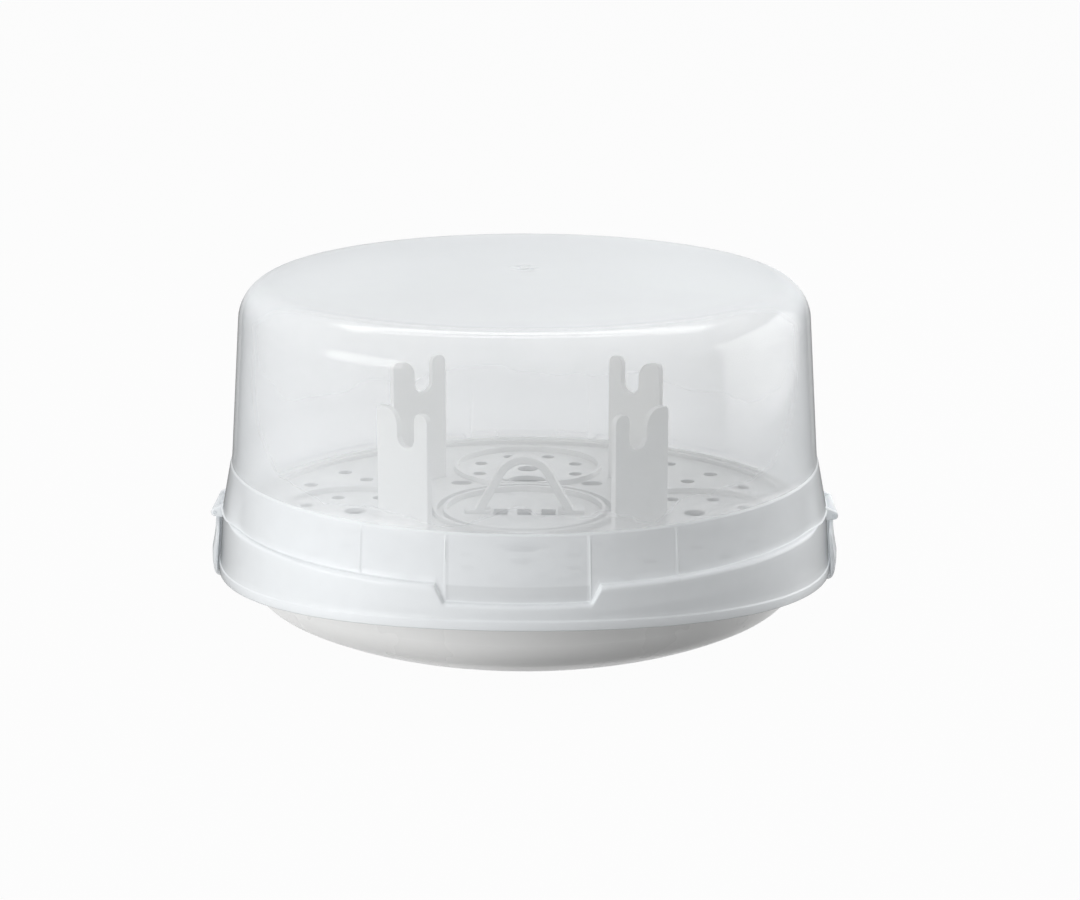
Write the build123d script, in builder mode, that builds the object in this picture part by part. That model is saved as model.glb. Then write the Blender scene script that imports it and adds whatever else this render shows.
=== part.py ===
from build123d import *

import os
from math import cos, degrees, radians, sin, sqrt

os.makedirs("parts", exist_ok=True)

# A free-standing microwave steam steriliser for feeding bottles: a bowl that holds the water, a
# holed tray with four bottle posts and a lifting handle, and a domed lid held by two side clips.
# Millimetres, +Z up. X runs across the two clips and Y from the front (negative) to the back.
# The origin is the centre of the foot, on the surface that the bowl stands on.

# Bowl
bowl_wall = 2.4
foot_radius = 60.0
foot_width = 8.0
foot_height = 1.4
bowl_draft = 6.5
dish_rise = 19.0
bowl_corner = 18.0
rim_radius = 132.5
rim_z = 51.7
flange_drop = 6.3
flange_thickness = 2.2
flange_clearance = 0.7
rest_drop = 4.7
rest_width = 4.0
rest_edge = 1.2
rest_depth = 6.0
catch_clearance = 0.35
catch_angle = 12.0

# Tray
tray_thickness = 2.2
tray_clearance = 0.5
tray_rim_width = 2.2
tray_rim_height = 1.8
bottle_count = 4
bottle_spacing = 78.0
bottle_ring_radius = 35.0
centre_ring_radius = 41.0
centre_ring_gap = 4.5
ring_width = 1.6
ring_height = 2.6
centre_hole_radius = 5.0
ring_hole_radius = 3.2
ring_hole_circle = 25.0
ring_hole_count = 8
ring_hole_start = 22.5
finger_hole_radius = 9.0
finger_hole_place = 56.0
drain_hole_radius = 3.4
drain_diagonals = (45.0, 135.0, 225.0, 315.0)
drain_inner_inset = 33.5
drain_outer_inset = 16.5
drain_inner_angles = (-9.0, 9.0)
drain_outer_angles = (-21.0, -7.0, 7.0, 21.0)
oval_hole_radius = 3.6
oval_hole_stretch = 3.0
oval_hole_place = (31.0, 51.0)
slot_length = 10.0
slot_width = 6.5
slot_spacing = 11.0

# Bottle posts, each a flat plate across its diagonal, with the broad prong toward the nearer clip
post_offset = 51.5
post_width = 33.0
post_thickness = 2.8
post_height = 60.5
notch_width = 11.0
notch_depth = 16.5
notch_corner = 4.9
slim_prong = 8.5
slim_prong_corner = 3.8
broad_prong_slope = 8.0
broad_prong_corner = 2.6

# Tabs that plug the posts and the handle into the tray
tab_width = 9.0
tab_reach = 2.4
tab_clearance = 0.05
post_tab_spacing = 18.0

# Largest share of a prong's or the notch's width that its rounding takes
corner_share = 0.45
slope_share = 0.6
tip_share = 0.3

# Lifting handle
handle_span = 43.0
handle_height = 27.0
handle_shoulder = 17.0
handle_top_span = 27.0
handle_band = 3.6
handle_depth = 7.0
handle_foot_width = 12.0

# Lid
lid_wall = 1.8
lid_clearance = 0.7
wall_height = 86.4
dome_rise = 5.0
dome_corner = 18.0
wall_draft = 5.5
shoulder_step = 0.6
band_height = 21.3
band_flare = 1.6
ledge_width = 2.5
ledge_corner = 1.0
skirt_flare = 2.1
skirt_front_depth = 17.9
skirt_side_depth = 28.3
lip_band_height = 3.4
lip_band_step = 0.5
panel_drop = 8.1
panel_top_width = 68.0
panel_low_width = 60.0
pad_angle = 48.0
rib_width = 0.8
rib_step = 0.35
rib_angles = (12.8, 29.3)
front_and_back = (-90.0, 90.0)

# Side clips and the lid's ears that carry them
hinge_drop = 2.5
hinge_stand = 2.5
pin_radius = 1.3
pin_clearance = 0.05
barrel_radius = 2.0
barrel_length = 26.0
ear_gap = 0.3
ear_thickness = 3.2
ear_radius = 2.3
ear_rise = 5.5
ear_drop = 3.2
clip_width = 48.0
clip_thickness = 1.9
clip_gap = 1.1
clip_arm_drop = 4.0
hook_gap = 0.7
hook_thickness = 3.0
hook_clearance = 0.35
hook_corner = 1.6

# Heights that follow from the ones above: the lid's two panels stand on the bowl's flange
rest_z = rim_z - rest_drop
tray_top = rest_z + tray_thickness
flange_z = rim_z - flange_drop
panel_z = flange_z + lid_wall
ledge_z = panel_z + panel_drop
shoulder_z = ledge_z + band_height
lid_top = shoulder_z + wall_height
lip_front_z = ledge_z - skirt_front_depth
lip_side_z = ledge_z - skirt_side_depth
hinge_z = ledge_z - hinge_drop
clip_arm_z = hinge_z - clip_arm_drop

# Radii that follow: the lid's band goes round the bowl's rim
dish_radius = rim_radius - bowl_draft
band_radius = rim_radius + lid_clearance + lid_wall
shoulder_radius = band_radius - band_flare - shoulder_step
wall_top_radius = shoulder_radius - wall_draft
skirt_top_radius = band_radius + ledge_width
skirt_low_radius = skirt_top_radius + skirt_flare
lip_reach = skirt_low_radius + lip_band_step
pin_hole_radius = pin_radius + pin_clearance

# Slopes of the walls, in millimetres across for each millimetre of height
bowl_slope = bowl_draft / (rim_z - dish_rise)
skirt_slope = skirt_flare / skirt_side_depth
band_slope = band_flare / band_height


def bowl_radius(z):
    """Outer radius of the bowl's wall at a height."""
    return rim_radius - (rim_z - z) * bowl_slope


def skirt_radius(z):
    """Outer radius of the lid's skirt at a height, without the band along its lip."""
    return skirt_top_radius + (ledge_z - z) * skirt_slope


def band_outer_radius(z):
    """Outer radius of the lid's band at a height, also where the panels carry it below the ledge."""
    return band_radius + (ledge_z - z) * band_slope


# Length by which the lid's forms run past its lower edge before that edge is cut
run_past = 2 * lid_wall

wall_across = bowl_wall * sqrt(1 + bowl_slope**2)
tray_radius = bowl_radius(rest_z) - wall_across - tray_clearance
flange_radius = skirt_radius(flange_z) - lid_wall - flange_clearance
catch_radius = skirt_radius(flange_z) - lid_wall - catch_clearance
hook_radius = catch_radius + hook_clearance
hinge_radius = skirt_radius(hinge_z) + hinge_stand


def radial_plane(angle):
    """The upright plane through the Z axis whose own x runs outward at the given angle from +X."""
    return Plane(
        origin=(0, 0, 0),
        x_dir=(cos(radians(angle)), sin(radians(angle)), 0),
        z_dir=(sin(radians(angle)), -cos(radians(angle)), 0),
    )


def nearest_corner(point):
    """The vertex of the sketch in hand that lies nearest to a point."""
    return vertices().sort_by_distance(point)[0]


def bowl_outline(past_axis, past_rim):
    """Edges of the bowl's outside from its axis to its rim, run past both by the given lengths."""
    top = rim_z + past_rim
    with BuildLine() as outline:
        floor = Line((-past_axis, 0), (foot_radius, 0))
        dish = TangentArc(floor @ 1, (dish_radius, dish_rise), tangent=(1, 0))
        Polyline(dish @ 1, (bowl_radius(top), top), (-past_axis, top), floor @ 0)
    return outline.edges()


with BuildPart() as bowl_hollow:
    with BuildSketch(Plane.XZ):
        make_face(bowl_outline(bowl_wall, bowl_wall))
        fillet(nearest_corner((dish_radius, dish_rise)), bowl_corner)
        offset(amount=-bowl_wall, kind=Kind.INTERSECTION, mode=Mode.REPLACE)
    revolve(axis=Axis.Z)

with BuildPart() as base_bowl:
    with BuildSketch(Plane.XZ):
        make_face(bowl_outline(0, 0))
        fillet(nearest_corner((dish_radius, dish_rise)), bowl_corner)
    revolve(axis=Axis.Z)
    # Flange round the outside, which the lid's two panels stand on
    with BuildSketch(Plane.XZ):
        with BuildLine():
            Polyline(
                (bowl_radius(flange_z) - bowl_wall, flange_z),
                (flange_radius, flange_z),
                (flange_radius, flange_z - flange_thickness),
                (bowl_radius(flange_z) - bowl_wall, flange_z - flange_thickness),
                close=True,
            )
        make_face()
    revolve(axis=Axis.Z)
    # Catches for the two side clips
    for side in (0, 180):
        with BuildSketch(radial_plane(side - catch_angle / 2)):
            with BuildLine():
                Polyline(
                    (bowl_radius(lip_side_z) - bowl_wall, lip_side_z),
                    (catch_radius, lip_side_z),
                    (catch_radius, flange_z - flange_thickness / 2),
                    (bowl_radius(flange_z) - bowl_wall, flange_z - flange_thickness / 2),
                    close=True,
                )
            make_face()
        revolve(axis=Axis.Z, revolution_arc=catch_angle)
    add(bowl_hollow.part, mode=Mode.SUBTRACT)
    # Inner ledge that the tray rests on
    with BuildSketch(Plane.XZ):
        outer = bowl_radius(rest_z) - bowl_wall / 2
        inner = bowl_radius(rest_z) - wall_across - rest_width
        with BuildLine():
            Polyline(
                (outer, rest_z),
                (inner, rest_z),
                (inner, rest_z - rest_edge),
                (bowl_radius(rest_z - rest_depth) - bowl_wall / 2, rest_z - rest_depth),
                close=True,
            )
        make_face()
    revolve(axis=Axis.Z)
    # The underside inside the foot ring is raised
    with BuildSketch(Plane.XY):
        Circle(foot_radius - foot_width)
    extrude(amount=foot_height, mode=Mode.SUBTRACT)
base_bowl.part.label = "base_bowl"
export_step(base_bowl.part, "parts/base_bowl.step")

# Diagonal quarter directions: right back, left back, left front and right front
quarters = {
    "rear_right_post": (1, 1),
    "rear_left_post": (-1, 1),
    "front_left_post": (-1, -1),
    "front_right_post": (1, -1),
}


def post_plane(x_sign, y_sign):
    """The plane of a post: its x runs toward the broad prong and its y runs up from the tray."""
    return Plane(
        origin=(x_sign * post_offset, y_sign * post_offset, tray_top),
        x_dir=(x_sign, -y_sign, 0),
        z_dir=(-y_sign, -x_sign, 0),
    )


post_tabs = (-post_tab_spacing / 2, post_tab_spacing / 2)
handle_plane = Plane(origin=(0, 0, tray_top), x_dir=(1, 0, 0), z_dir=(0, -1, 0))
handle_tabs = (-handle_span / 2, handle_span / 2)
# Each upright piece: its plane, the places of its tabs and its thickness
plugged = [(post_plane(*signs), post_tabs, post_thickness) for signs in quarters.values()]
plugged.append((handle_plane, handle_tabs, handle_depth))

with BuildPart() as tray:
    with BuildSketch(Plane.XY.offset(rest_z)):
        Circle(tray_radius)
        # Holes inside each bottle ring, where the steam comes up
        with PolarLocations(bottle_spacing, bottle_count):
            Circle(centre_hole_radius, mode=Mode.SUBTRACT)
            with PolarLocations(ring_hole_circle, ring_hole_count, start_angle=ring_hole_start):
                Circle(ring_hole_radius, mode=Mode.SUBTRACT)
        # Finger holes beside the handle
        for side in (1, -1):
            with Locations((0, side * finger_hole_place)):
                Circle(finger_hole_radius, mode=Mode.SUBTRACT)
        # Drain holes outside the posts
        for diagonal in drain_diagonals:
            for inset, angles in (
                (drain_inner_inset, drain_inner_angles),
                (drain_outer_inset, drain_outer_angles),
            ):
                circle = tray_radius - inset
                for angle in angles:
                    turned = radians(diagonal + angle)
                    with Locations((circle * cos(turned), circle * sin(turned))):
                        Circle(drain_hole_radius, mode=Mode.SUBTRACT)
        for x_sign, y_sign in quarters.values():
            with Locations((x_sign * oval_hole_place[0], y_sign * oval_hole_place[1])):
                SlotCenterToCenter(oval_hole_stretch, 2 * oval_hole_radius, mode=Mode.SUBTRACT)
        # Slots in a row under the handle
        with GridLocations(slot_spacing, 0, 3, 1):
            Rectangle(slot_width, slot_length, mode=Mode.SUBTRACT)
    extrude(amount=tray_thickness)
    with BuildSketch(Plane.XY.offset(tray_top)):
        Circle(tray_radius)
        Circle(tray_radius - tray_rim_width, mode=Mode.SUBTRACT)
    extrude(amount=tray_rim_height)
    with BuildSketch(Plane.XY.offset(tray_top)):
        with PolarLocations(bottle_spacing, bottle_count):
            Circle(bottle_ring_radius + ring_width / 2)
            Circle(bottle_ring_radius - ring_width / 2, mode=Mode.SUBTRACT)
    extrude(amount=ring_height)
    for radius in (centre_ring_radius, centre_ring_radius - centre_ring_gap):
        with BuildSketch(Plane.XY.offset(tray_top)):
            Circle(radius + ring_width / 2)
            Circle(radius - ring_width / 2, mode=Mode.SUBTRACT)
        extrude(amount=ring_height)
    # Slots that the tabs of the posts and the handle plug into
    for plane, places, thickness in plugged:
        with BuildSketch(plane):
            with Locations(*[(place, 0) for place in places]):
                Rectangle(tab_width + 2 * tab_clearance, 2 * (tray_thickness + tab_reach))
        extrude(amount=thickness / 2 + tab_clearance, both=True, mode=Mode.SUBTRACT)
tray.part.label = "tray"
export_step(tray.part, "parts/tray.step")

for name, (x_sign, y_sign) in quarters.items():
    with BuildPart() as post:
        with BuildSketch(post_plane(x_sign, y_sign)):
            slim_side = slim_prong - post_width / 2
            broad_side = slim_side + notch_width
            broad_prong = post_width / 2 - broad_side
            notch_floor = post_height - notch_depth
            with BuildLine():
                Polyline(
                    (-post_width / 2, 0),
                    (-post_width / 2, post_height),
                    (slim_side, post_height),
                    (slim_side, notch_floor),
                    (broad_side, notch_floor),
                    (broad_side, post_height),
                    (post_width / 2, post_height),
                    (post_width / 2, 0),
                    close=True,
                )
            make_face()
            for x, y, radius in (
                (-post_width / 2, post_height, min(slim_prong_corner, corner_share * slim_prong)),
                (slim_side, post_height, min(slim_prong_corner, corner_share * slim_prong)),
                (slim_side, notch_floor, min(notch_corner, corner_share * notch_width)),
                (broad_side, notch_floor, min(notch_corner, corner_share * notch_width)),
                (broad_side, post_height, min(broad_prong_slope, slope_share * broad_prong)),
                (post_width / 2, post_height, min(broad_prong_corner, tip_share * broad_prong)),
            ):
                fillet(nearest_corner((x, y)), radius)
            with Locations(*[(place, -(tray_thickness + tab_reach) / 2) for place in post_tabs]):
                Rectangle(tab_width, tray_thickness + tab_reach)
        extrude(amount=post_thickness / 2, both=True)
    post.part.label = name
    export_step(post.part, "parts/" + name + ".step")

with BuildPart() as lifting_handle:
    with BuildSketch(handle_plane):
        half_foot = handle_span / 2
        half_top = (handle_top_span - handle_band) / 2
        crown = handle_height - handle_band / 2
        with BuildLine() as centre_line:
            Line((-half_foot, 0), (-half_top, handle_shoulder))
            ThreePointArc((-half_top, handle_shoulder), (0, crown), (half_top, handle_shoulder))
            Line((half_top, handle_shoulder), (half_foot, 0))
        trace(line_width=handle_band)
        # The feet end flat on the tray
        with Locations((0, -handle_band)):
            Rectangle(2 * handle_span, 2 * handle_band, mode=Mode.SUBTRACT)
        with Locations(*[(place, -(tray_thickness + tab_reach) / 2) for place in handle_tabs]):
            Rectangle(tab_width, tray_thickness + tab_reach)
        with Locations(*[(place, handle_band / 4) for place in handle_tabs]):
            Rectangle(handle_foot_width, handle_band / 2)
    extrude(amount=handle_depth / 2, both=True)
lifting_handle.part.label = "lifting_handle"
export_step(lifting_handle.part, "parts/lifting_handle.step")


def shell_outline(low_z):
    """Edges of the lid's dome, wall and band, with the band run down to a height, closed on the axis."""
    with BuildLine() as outline:
        dome = RadiusArc(
            (0, lid_top),
            (wall_top_radius, lid_top - dome_rise),
            (wall_top_radius**2 + dome_rise**2) / (2 * dome_rise),
        )
        Polyline(
            dome @ 1,
            (shoulder_radius, shoulder_z),
            (shoulder_radius + shoulder_step, shoulder_z),
            (band_outer_radius(low_z), low_z),
            (0, low_z),
            dome @ 0,
        )
    return outline.edges()


def skirt_body(inward):
    """The lid's skirt as a solid ring with a window for each panel, drawn inward by a length."""
    low_z = lip_side_z - run_past
    panel_low = panel_z - inward
    half_top = panel_top_width / 2 + inward
    half_low = panel_low_width / 2 + inward
    with BuildPart() as skirt:
        with BuildSketch(Plane.XZ):
            with BuildLine():
                Polyline(
                    (band_radius - 2 * run_past, low_z),
                    (skirt_radius(low_z) - inward, low_z),
                    (skirt_top_radius - inward, ledge_z - inward),
                    (band_radius - 2 * run_past, ledge_z - inward),
                    close=True,
                )
            make_face()
            fillet(nearest_corner((skirt_top_radius, ledge_z)), ledge_corner)
        revolve(axis=Axis.Z)
        with BuildSketch(Plane.XZ):
            with BuildLine():
                Polyline(
                    (-half_low, panel_low),
                    (half_low, panel_low),
                    (half_top, ledge_z),
                    (-half_top, ledge_z),
                    close=True,
                )
            make_face()
        extrude(amount=2 * skirt_low_radius, both=True, mode=Mode.SUBTRACT)
    return skirt.part


def lip_points(rise):
    """Three points on the lid's arched lower edge seen from the front, raised by a given height."""
    side = lip_side_z + rise
    return (-lip_reach, side), (0, lip_front_z + rise), (lip_reach, side)


skirt_outside = skirt_body(0)
skirt_inside = skirt_body(lid_wall)

with BuildPart() as lid_hollow:
    with BuildSketch(Plane.XZ):
        make_face(shell_outline(lip_side_z - run_past - lid_wall))
        fillet(nearest_corner((wall_top_radius, lid_top - dome_rise)), dome_corner)
        mirror(about=Plane.YZ)
        offset(amount=-lid_wall, kind=Kind.INTERSECTION, mode=Mode.REPLACE)
        split(bisect_by=Plane.YZ)
    revolve(axis=Axis.Z)
    add(skirt_inside)

with BuildPart() as lip_band:
    with BuildSketch(Plane.XZ):
        with BuildLine():
            Polyline(
                (skirt_radius(ledge_z) - lid_wall / 2, ledge_z - lid_wall),
                (skirt_radius(ledge_z) + lip_band_step, ledge_z - lid_wall),
                (skirt_radius(lip_side_z) + lip_band_step, lip_side_z - lid_wall),
                (skirt_radius(lip_side_z) - lid_wall / 2, lip_side_z - lid_wall),
                close=True,
            )
        make_face()
    revolve(axis=Axis.Z)
    with BuildSketch(Plane.XZ):
        with BuildLine():
            low = ThreePointArc(*lip_points(0))
            high = ThreePointArc(*lip_points(lip_band_height))
            Line(low @ 0, high @ 0)
            Line(low @ 1, high @ 1)
        make_face()
    extrude(amount=2 * skirt_low_radius, both=True, mode=Mode.INTERSECT)

with BuildPart() as lid:
    with BuildSketch(Plane.XZ):
        make_face(shell_outline(lip_side_z - run_past))
        fillet(nearest_corner((wall_top_radius, lid_top - dome_rise)), dome_corner)
    revolve(axis=Axis.Z)
    add(skirt_outside)
    # Pads at the two sides, where the ledge runs out into the skirt
    for side in (0, 180):
        with BuildSketch(radial_plane(side - pad_angle / 2)):
            with BuildLine():
                Polyline(
                    (shoulder_radius + shoulder_step, shoulder_z),
                    (skirt_top_radius, ledge_z),
                    (skirt_top_radius, ledge_z - lid_wall),
                    (band_radius - lid_wall / 2, ledge_z),
                    (shoulder_radius + shoulder_step - lid_wall / 2, shoulder_z),
                    close=True,
                )
            make_face()
        revolve(axis=Axis.Z, revolution_arc=pad_angle)
    # Fine upright ribs on the band beside the panels
    for front in front_and_back:
        for angle in (*rib_angles, *[-angle for angle in rib_angles]):
            rib_turn = degrees(rib_width / band_radius)
            with BuildSketch(radial_plane(front + angle - rib_turn / 2)):
                with BuildLine():
                    Polyline(
                        (shoulder_radius + shoulder_step - lid_wall / 2, shoulder_z),
                        (shoulder_radius + shoulder_step + rib_step, shoulder_z),
                        (band_radius + rib_step, ledge_z),
                        (band_radius - lid_wall / 2, ledge_z),
                        close=True,
                    )
                make_face()
            revolve(axis=Axis.Z, revolution_arc=rib_turn)
    # Ears that carry the clips' hinge pins
    for side in (1, -1):
        for end in (1, -1):
            with BuildSketch(Plane.XZ.offset(end * (barrel_length / 2 + ear_gap))):
                foot_x = skirt_top_radius - run_past - lid_wall
                with BuildLine():
                    Polyline(
                        (side * foot_x, hinge_z + ear_rise),
                        (side * foot_x, hinge_z - ear_drop),
                        (side * hinge_radius, hinge_z - ear_radius),
                        (side * (hinge_radius + ear_radius), hinge_z),
                        (side * hinge_radius, hinge_z + ear_radius),
                        close=True,
                    )
                make_face()
                with Locations((side * hinge_radius, hinge_z)):
                    Circle(ear_radius)
                    Circle(pin_hole_radius, mode=Mode.SUBTRACT)
            extrude(amount=end * ear_thickness)
    add(lip_band.part)
    add(lid_hollow.part, mode=Mode.SUBTRACT)
    # The lower edge arches up at the front and the back
    with BuildSketch(Plane.XZ):
        reach = 2 * skirt_low_radius
        with BuildLine():
            edge = ThreePointArc(*lip_points(0))
            Polyline(
                edge @ 1,
                (reach, lip_side_z),
                (reach, -reach),
                (-reach, -reach),
                (-reach, lip_side_z),
                edge @ 0,
            )
        make_face()
    extrude(amount=2 * skirt_low_radius, both=True, mode=Mode.SUBTRACT)
lid.part.label = "lid"
export_step(lid.part, "parts/lid.step")

clip_angle = degrees(clip_width / skirt_low_radius)
with BuildPart() as right_clip:
    hook_top = lip_side_z - hook_gap
    hook_low = hook_top - hook_thickness
    outer_low = skirt_radius(hook_low) + clip_gap + clip_thickness
    # Arm and hook, which follow the lid's curve
    with BuildSketch(radial_plane(-clip_angle / 2)):
        with BuildLine():
            Polyline(
                (skirt_radius(clip_arm_z) + clip_gap, clip_arm_z),
                (skirt_radius(clip_arm_z) + clip_gap + clip_thickness, clip_arm_z),
                (outer_low, hook_low),
                (hook_radius, hook_low),
                (hook_radius, hook_top),
                (skirt_radius(hook_top) + clip_gap, hook_top),
                close=True,
            )
        make_face()
        fillet(nearest_corner((outer_low, hook_low)), hook_corner)
    revolve(axis=Axis.Z, revolution_arc=clip_angle)
    # Neck up to the hinge barrel, and the barrel with its two stub pins
    with BuildSketch(Plane.XZ):
        with BuildLine():
            Polyline(
                (skirt_radius(clip_arm_z) + clip_gap, clip_arm_z - clip_thickness),
                (skirt_radius(clip_arm_z) + clip_gap + clip_thickness, clip_arm_z - clip_thickness),
                (hinge_radius + barrel_radius, hinge_z),
                (hinge_radius - barrel_radius, hinge_z),
                close=True,
            )
        make_face()
        with Locations((hinge_radius, hinge_z)):
            Circle(barrel_radius)
    extrude(amount=barrel_length / 2, both=True)
    with BuildSketch(Plane.XZ):
        with Locations((hinge_radius, hinge_z)):
            Circle(pin_radius)
    extrude(amount=barrel_length / 2 + ear_gap + ear_thickness, both=True)
right_clip.part.label = "right_clip"
export_step(right_clip.part, "parts/right_clip.step")

with BuildPart() as left_clip:
    mirror(right_clip.part, about=Plane.YZ)
left_clip.part.label = "left_clip"
export_step(left_clip.part, "parts/left_clip.step")
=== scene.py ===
"""Microwave bottle sterilizer: a glossy white bowl, a holed white tray with four posts and a handle,
and a frosted, see-through lid with a clip at each side. Metres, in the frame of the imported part.
The lid, its ears, the clips and the bowl are surfaces worked out here on grids. The tray, the posts
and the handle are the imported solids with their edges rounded."""

import math

import bmesh
import bpy
import mathutils
import numpy as np
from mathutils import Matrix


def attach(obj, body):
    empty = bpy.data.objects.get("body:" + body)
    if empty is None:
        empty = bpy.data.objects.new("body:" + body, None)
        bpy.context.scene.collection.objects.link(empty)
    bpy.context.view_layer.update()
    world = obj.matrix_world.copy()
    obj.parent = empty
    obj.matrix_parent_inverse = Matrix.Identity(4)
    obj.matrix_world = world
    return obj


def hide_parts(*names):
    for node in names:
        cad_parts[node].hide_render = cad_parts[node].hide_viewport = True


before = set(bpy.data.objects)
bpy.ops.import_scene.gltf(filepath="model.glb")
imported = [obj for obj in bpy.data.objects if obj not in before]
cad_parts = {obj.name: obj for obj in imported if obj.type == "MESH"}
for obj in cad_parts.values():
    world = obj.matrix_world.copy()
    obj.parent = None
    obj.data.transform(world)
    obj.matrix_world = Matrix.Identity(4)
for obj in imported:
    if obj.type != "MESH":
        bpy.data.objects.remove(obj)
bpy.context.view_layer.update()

MM = 0.001
FULL_TURN = 2 * math.pi
FRONT = -math.pi / 2
BACK = math.pi / 2
SIDES = (0.0, math.pi)

# Lid sizes in millimetres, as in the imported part. The panels' lower edge and the height of the lip band
# differ from it by 0.8, after the photograph.
LID_WALL = 1.8
LID_TOP = 163.0
DOME_RISE = 5.0
DOME_CORNER = 18.0
WALL_TOP_RADIUS = 127.3
SHOULDER_RADIUS = 132.8
SHOULDER_STEP = 0.6
SHOULDER_Z = 76.6
BAND_RADIUS = 135.0
LEDGE_Z = 55.3
LEDGE_CORNER = 2.0
SKIRT_TOP_RADIUS = 137.5
SKIRT_LOW_RADIUS = 139.6
LIP_FRONT_Z = 37.4
LIP_SIDE_Z = 27.0
LIP_BAND_HEIGHT = 4.2
LIP_BAND_STEP = 0.5
PANEL_Z = 48.0
PANEL_TOP_HALF = 34.0
PANEL_LOW_HALF = 30.0
PAD_INNER = math.radians(15)
PAD_OUTER = math.radians(24)
RIB_ANGLES = (12.8, 29.3)
RIB_WIDTH = math.radians(0.28)
RIB_STEP = 0.35
LID_BEARINGS = 300

# The shallow round gate mark at the middle of the dome
GATE_RADIUS = 2.4
GATE_SLOPE = 0.4
GATE_DEPTH = 0.35
GATE_EDGE = 0.04

# Small forms of the lid, each a row of (out, up) in millimetres
SHOULDER_CHAMFER = ((0, 0.55), (0.06, 0.42), (SHOULDER_STEP - 0.06, -0.3), (SHOULDER_STEP, -0.45))
BAND_FOOT_FILLET = ((0.15, 0.15), (0.6, 0))
LIP_BAND_TOP = ((0.12, 0.05), (0.4, -0.25), (LIP_BAND_STEP, -0.6), (LIP_BAND_STEP, -2.0))
LIP_EDGE = ((LIP_BAND_STEP, 0.5), (0.38, 0.15), (0.1, 0), (0.4 - LID_WALL, 0), (-LID_WALL, 0.3))

# Bowl sizes in millimetres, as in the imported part
BOWL_WALL = 2.4
FOOT_RADIUS = 60.0
FOOT_WIDTH = 8.0
FOOT_HEIGHT = 1.4
DISH_RADIUS = 126.0
DISH_RISE = 19.0
BOWL_CORNER = 18.0
RIM_RADIUS = 132.5
RIM_Z = 51.7
RIM_ROUND = 1.2
FLANGE_RADIUS = 135.7
FLANGE_Z = 45.4
FLANGE_THICKNESS = 2.2
REST_Z = 47.0
REST_WIDTH = 4.0
REST_EDGE = 1.2
REST_DEPTH = 6.0
CATCH_RADIUS = 136.08
CATCH_HALF = math.radians(6)
CATCH_SIDE = 0.002           # half the angle, in radians, over which the catch's end face rises
CATCH_LIP = 0.9              # how far the flange's under edge reaches out on the catch
EDGE_ROUND = 0.8
NICK = 0.3
BLEND = 0.4                  # distance that a wall keeps from the corner that follows it
BOWL_BEARINGS = 256

# Clip and hinge sizes in millimetres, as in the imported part, with slimmer ears and barrels
HINGE_RADIUS = 140.1855
HINGE_Z = 52.8
BARREL_RADIUS = 1.9
BARREL_LENGTH = 26.0
BARREL_ROUND = 0.4
PIN_RADIUS = 1.25
EAR_GAP = 0.3
EAR_THICKNESS = 3.2
EAR_RADIUS = 1.9
EAR_RISE = 3.8
EAR_DROP = 2.3
EAR_ROOT = 1.2               # how deep the ears are set into the skirt
EAR_NOSE_SHARE = 0.6         # share of the nose's radius at which the slanted sides meet it
# The two faces of an ear, each a row of (millimetres outward from the face, share of the outline)
EAR_INNER_FACE = ((0, 0.0), (0, 0.55), (0, 0.96), (0.2, 1.0))
EAR_OUTER_FACE = ((-0.5, 1.0), (-0.15, 0.96), (0, 0.86), (0, 0.4), (0, 0.0))
# The clip's middle line from the barrel to the hook's tip: radius, height, thickness and half width
CLIP_PATH = (
    (140.25, 51.9, 1.9, 12.6),
    (139.95, 49.6, 1.8, 13.2),
    (139.95, 48.0, 1.8, 19.0),
    (140.05, 46.2, 1.9, 22.6),
    (140.5, 42.0, 2.1, 23.8),
    (141.3, 36.5, 2.8, 24.0),
    (141.5, 32.0, 2.4, 24.0),
    (141.45, 28.0, 1.8, 23.6),
    (140.9, 26.0, 1.6, 23.0),
    (139.5, 25.2, 1.5, 22.4),
    (136.9, 25.3, 1.7, 22.0),
)
CLIP_POINTS = 60
CLIP_EASING = 5              # points of the path that are averaged into one
CLIP_END_SHARE = 0.8         # section of the strip next to its closed ends
CLIP_SECTION_POWER = 0.32    # the lower, the squarer the strip's section

# Bevel of the tray, the posts and the handle, in millimetres and degrees
TRAY_BEVEL = 0.35
TRAY_SHARP = 40

# Angles, in degrees, past which an edge of a surface stays sharp
SHELL_SHARP = 50
CLIP_SHARP = 60

# Frosted plastic
VEIL_POWER = 3.5             # how late the veil thickens as the wall turns edge on
WALL_FOOT_SHARE = 1.7        # how much denser the veil of the lid's wall is just above the shoulder
WALL_FADE = 0.045            # height, in metres, over which it thins out again
INNER_SIDE_SHARE = 0.15      # share of the skirt's veil that is left where it is seen from within
LAMP_SHARE = 0.3             # share of the veil that stops light from the lamps
VEIL_DRIFT = (0.94, 1.06)
SHEEN_SHARE = (0.035, 0.1)   # share of gloss where the wall is seen face on and edge on
SHEEN_ROUGHNESS = (0.12, 0.2)
PLASTIC_GREYS = (0.86, 0.91)
PLASTIC_TINT = (0.95, 0.978, 1.0)
# Tint of the painted shade on walls seen edge on
EDGE_SHADE_TINT = (0.94, 0.98, 1.0)
PANEL_SHADE = 0.14           # share of painted shade grey on the lower part of the two panels
SKIN_SCALES = (160.0, 35.0)
SKIN_DEPTH = 0.0003

# White plastic
WHITE_TINT = (1.0, 1.0, 0.99)
ROUGHNESS_DRIFT = 0.03

# Floor and world
FLOOR_HALF = 6.0
FLOOR_GREY = 0.22
FLOOR_GLOW_SHARE = 0.97
AMBIENT = 0.15               # strength of the light that comes evenly from all round


def smooth_step(x, low, high):
    """0 below low, 1 above high and an S curve between them."""
    t = np.clip((x - low) / (high - low), 0, 1)
    return t * t * (3 - 2 * t)


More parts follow.
